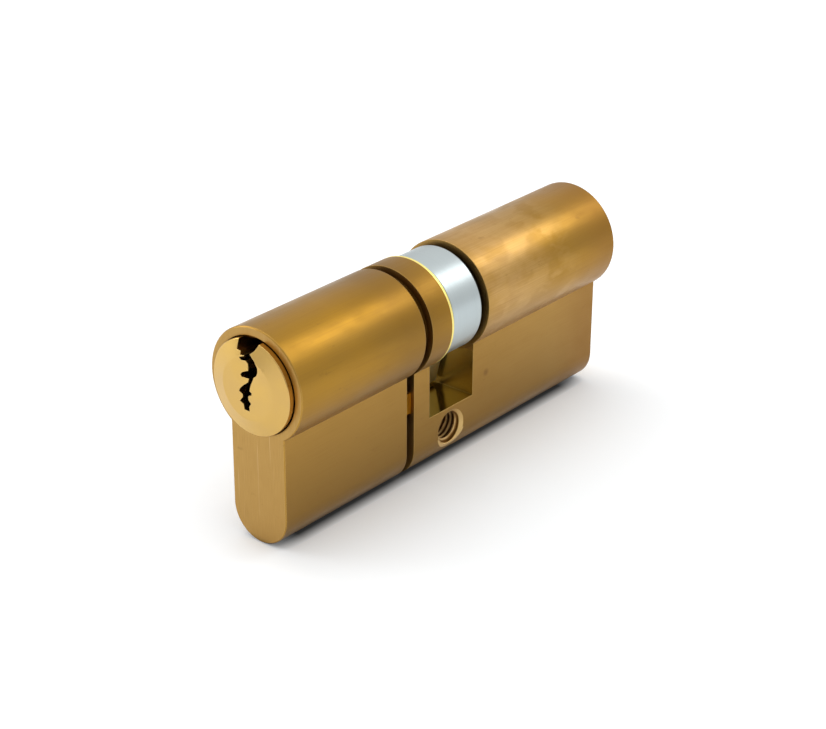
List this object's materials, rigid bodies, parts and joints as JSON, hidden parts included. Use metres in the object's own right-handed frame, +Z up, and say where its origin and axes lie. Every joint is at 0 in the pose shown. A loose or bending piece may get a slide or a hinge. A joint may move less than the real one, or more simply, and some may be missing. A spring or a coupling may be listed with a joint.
{
  "type": "euro profile double lock cylinder",
  "caption": "Brass lock cylinder of pear-shaped profile, keyed from both ends, with a steel cam between two turning plugs, a snap line and a cross hole for the fixing screw.",
  "frame": {"origin": "centre of the threaded fixing-screw hole, in the middle of the body", "axes": "+X across the body along the fixing screw, +Y from the front key side to the rear one, +Z up towards the barrel"},
  "size_m": [0.017, 0.0754, 0.033],
  "materials": {
    "brass_body": "satin, fine brushed",
    "brass_plug": "satin, turned",
    "cam_steel": "polished",
    "clip_steel": "plain",
    "coupler_steel": "sintered",
    "pin_brass": "turned",
    "driver_steel": "turned",
    "spring_steel": "drawn wire",
    "stopper_brass": "satin",
    "guard_steel": "hardened"
  },
  "bodies": {
    "housing": {"housing": "brass_body", "housing_guard_front_left": "guard_steel", "housing_guard_front_right": "guard_steel", "stopper_front_1": "stopper_brass", "stopper_front_2": "stopper_brass", "stopper_front_3": "stopper_brass", "stopper_front_4": "stopper_brass", "stopper_front_5": "stopper_brass", "pin_spring_front_1": "spring_steel", "pin_spring_front_2": "spring_steel", "pin_spring_front_3": "spring_steel", "pin_spring_front_4": "spring_steel", "pin_spring_front_5": "spring_steel", "housing_guard_rear_left": "guard_steel", "housing_guard_rear_right": "guard_steel", "stopper_rear_1": "stopper_brass", "stopper_rear_2": "stopper_brass", "stopper_rear_3": "stopper_brass", "stopper_rear_4": "stopper_brass", "stopper_rear_5": "stopper_brass", "pin_spring_rear_1": "spring_steel", "pin_spring_rear_2": "spring_steel", "pin_spring_rear_3": "spring_steel", "pin_spring_rear_4": "spring_steel", "pin_spring_rear_5": "spring_steel"},
    "plug_front": {"plug_front": "brass_plug", "clip_front": "clip_steel", "plug_guard_front_left": "guard_steel", "plug_guard_front_right": "guard_steel"},
    "plug_rear": {"plug_rear": "brass_plug", "clip_rear": "clip_steel", "plug_guard_rear_left": "guard_steel", "plug_guard_rear_right": "guard_steel"},
    "cam": {"cam": "cam_steel"},
    "coupler": {"coupler": "coupler_steel"},
    "key_pin_front_1": {"key_pin_front_1": "pin_brass"},
    "driver_pin_front_1": {"driver_pin_front_1": "driver_steel"},
    "key_pin_front_2": {"key_pin_front_2": "pin_brass"},
    "driver_pin_front_2": {"driver_pin_front_2": "driver_steel"},
    "key_pin_front_3": {"key_pin_front_3": "pin_brass"},
    "driver_pin_front_3": {"driver_pin_front_3": "driver_steel"},
    "key_pin_front_4": {"key_pin_front_4": "pin_brass"},
    "driver_pin_front_4": {"driver_pin_front_4": "driver_steel"},
    "key_pin_front_5": {"key_pin_front_5": "pin_brass"},
    "driver_pin_front_5": {"driver_pin_front_5": "driver_steel"},
    "key_pin_rear_1": {"key_pin_rear_1": "pin_brass"},
    "driver_pin_rear_1": {"driver_pin_rear_1": "driver_steel"},
    "key_pin_rear_2": {"key_pin_rear_2": "pin_brass"},
    "driver_pin_rear_2": {"driver_pin_rear_2": "driver_steel"},
    "key_pin_rear_3": {"key_pin_rear_3": "pin_brass"},
    "driver_pin_rear_3": {"driver_pin_rear_3": "driver_steel"},
    "key_pin_rear_4": {"key_pin_rear_4": "pin_brass"},
    "driver_pin_rear_4": {"driver_pin_rear_4": "driver_steel"},
    "key_pin_rear_5": {"key_pin_rear_5": "pin_brass"},
    "driver_pin_rear_5": {"driver_pin_rear_5": "driver_steel"}
  },
  "joints": [
    {"name": "plug_front_turn", "type": "hinge", "parent": "housing", "child": "plug_front", "pos_m": [0, 0, 0.019], "axis": [0, 1, 0], "continuous": true},
    {"name": "plug_rear_turn", "type": "hinge", "parent": "housing", "child": "plug_rear", "pos_m": [0, 0, 0.019], "axis": [0, 1, 0], "continuous": true},
    {"name": "cam_turn", "type": "hinge", "parent": "housing", "child": "cam", "pos_m": [0, 0, 0.019], "axis": [0, 1, 0], "continuous": true},
    {"name": "coupler_slide", "type": "slide", "parent": "cam", "child": "coupler", "axis": [0, 1, 0], "range_m": [0, 0.0021]},
    {"name": "key_pin_front_1_lift", "type": "slide", "parent": "plug_front", "child": "key_pin_front_1", "axis": [0, 0, 1], "range_m": [0, 0.00219]},
    {"name": "driver_front_1_press", "type": "slide", "parent": "housing", "child": "driver_pin_front_1", "axis": [0, 0, 1], "range_m": [-0.0025, 0], "stiffness_N_per_m": 5, "springref_m": 0.002, "deforming": ["pin_spring_front_1"]},
    {"name": "key_pin_front_2_lift", "type": "slide", "parent": "plug_front", "child": "key_pin_front_2", "axis": [0, 0, 1], "range_m": [0, 0.00129]},
    {"name": "driver_front_2_press", "type": "slide", "parent": "housing", "child": "driver_pin_front_2", "axis": [0, 0, 1], "range_m": [-0.0025, 0], "stiffness_N_per_m": 5, "springref_m": 0.002, "deforming": ["pin_spring_front_2"]},
    {"name": "key_pin_front_3_lift", "type": "slide", "parent": "plug_front", "child": "key_pin_front_3", "axis": [0, 0, 1], "range_m": [0, 0.00264]},
    {"name": "driver_front_3_press", "type": "slide", "parent": "housing", "child": "driver_pin_front_3", "axis": [0, 0, 1], "range_m": [-0.0025, 0], "stiffness_N_per_m": 5, "springref_m": 0.002, "deforming": ["pin_spring_front_3"]},
    {"name": "key_pin_front_4_lift", "type": "slide", "parent": "plug_front", "child": "key_pin_front_4", "axis": [0, 0, 1], "range_m": [0, 0.00174]},
    {"name": "driver_front_4_press", "type": "slide", "parent": "housing", "child": "driver_pin_front_4", "axis": [0, 0, 1], "range_m": [-0.0025, 0], "stiffness_N_per_m": 5, "springref_m": 0.002, "deforming": ["pin_spring_front_4"]},
    {"name": "key_pin_front_5_lift", "type": "slide", "parent": "plug_front", "child": "key_pin_front_5", "axis": [0, 0, 1], "range_m": [0, 0.00309]},
    {"name": "driver_front_5_press", "type": "slide", "parent": "housing", "child": "driver_pin_front_5", "axis": [0, 0, 1], "range_m": [-0.0025, 0], "stiffness_N_per_m": 5, "springref_m": 0.002, "deforming": ["pin_spring_front_5"]},
    {"name": "key_pin_rear_1_lift", "type": "slide", "parent": "plug_rear", "child": "key_pin_rear_1", "axis": [0, 0, 1], "range_m": [0, 0.00219]},
    {"name": "driver_rear_1_press", "type": "slide", "parent": "housing", "child": "driver_pin_rear_1", "axis": [0, 0, 1], "range_m": [-0.0025, 0], "stiffness_N_per_m": 5, "springref_m": 0.002, "deforming": ["pin_spring_rear_1"]},
    {"name": "key_pin_rear_2_lift", "type": "slide", "parent": "plug_rear", "child": "key_pin_rear_2", "axis": [0, 0, 1], "range_m": [0, 0.00129]},
    {"name": "driver_rear_2_press", "type": "slide", "parent": "housing", "child": "driver_pin_rear_2", "axis": [0, 0, 1], "range_m": [-0.0025, 0], "stiffness_N_per_m": 5, "springref_m": 0.002, "deforming": ["pin_spring_rear_2"]},
    {"name": "key_pin_rear_3_lift", "type": "slide", "parent": "plug_rear", "child": "key_pin_rear_3", "axis": [0, 0, 1], "range_m": [0, 0.00264]},
    {"name": "driver_rear_3_press", "type": "slide", "parent": "housing", "child": "driver_pin_rear_3", "axis": [0, 0, 1], "range_m": [-0.0025, 0], "stiffness_N_per_m": 5, "springref_m": 0.002, "deforming": ["pin_spring_rear_3"]},
    {"name": "key_pin_rear_4_lift", "type": "slide", "parent": "plug_rear", "child": "key_pin_rear_4", "axis": [0, 0, 1], "range_m": [0, 0.00174]},
    {"name": "driver_rear_4_press", "type": "slide", "parent": "housing", "child": "driver_pin_rear_4", "axis": [0, 0, 1], "range_m": [-0.0025, 0], "stiffness_N_per_m": 5, "springref_m": 0.002, "deforming": ["pin_spring_rear_4"]},
    {"name": "key_pin_rear_5_lift", "type": "slide", "parent": "plug_rear", "child": "key_pin_rear_5", "axis": [0, 0, 1], "range_m": [0, 0.00309]},
    {"name": "driver_rear_5_press", "type": "slide", "parent": "housing", "child": "driver_pin_rear_5", "axis": [0, 0, 1], "range_m": [-0.0025, 0], "stiffness_N_per_m": 5, "springref_m": 0.002, "deforming": ["pin_spring_rear_5"]}
  ],
  "couplings": [
    {"joint": "cam_turn", "follows": "plug_front_turn", "ratio": 1}
  ]
}
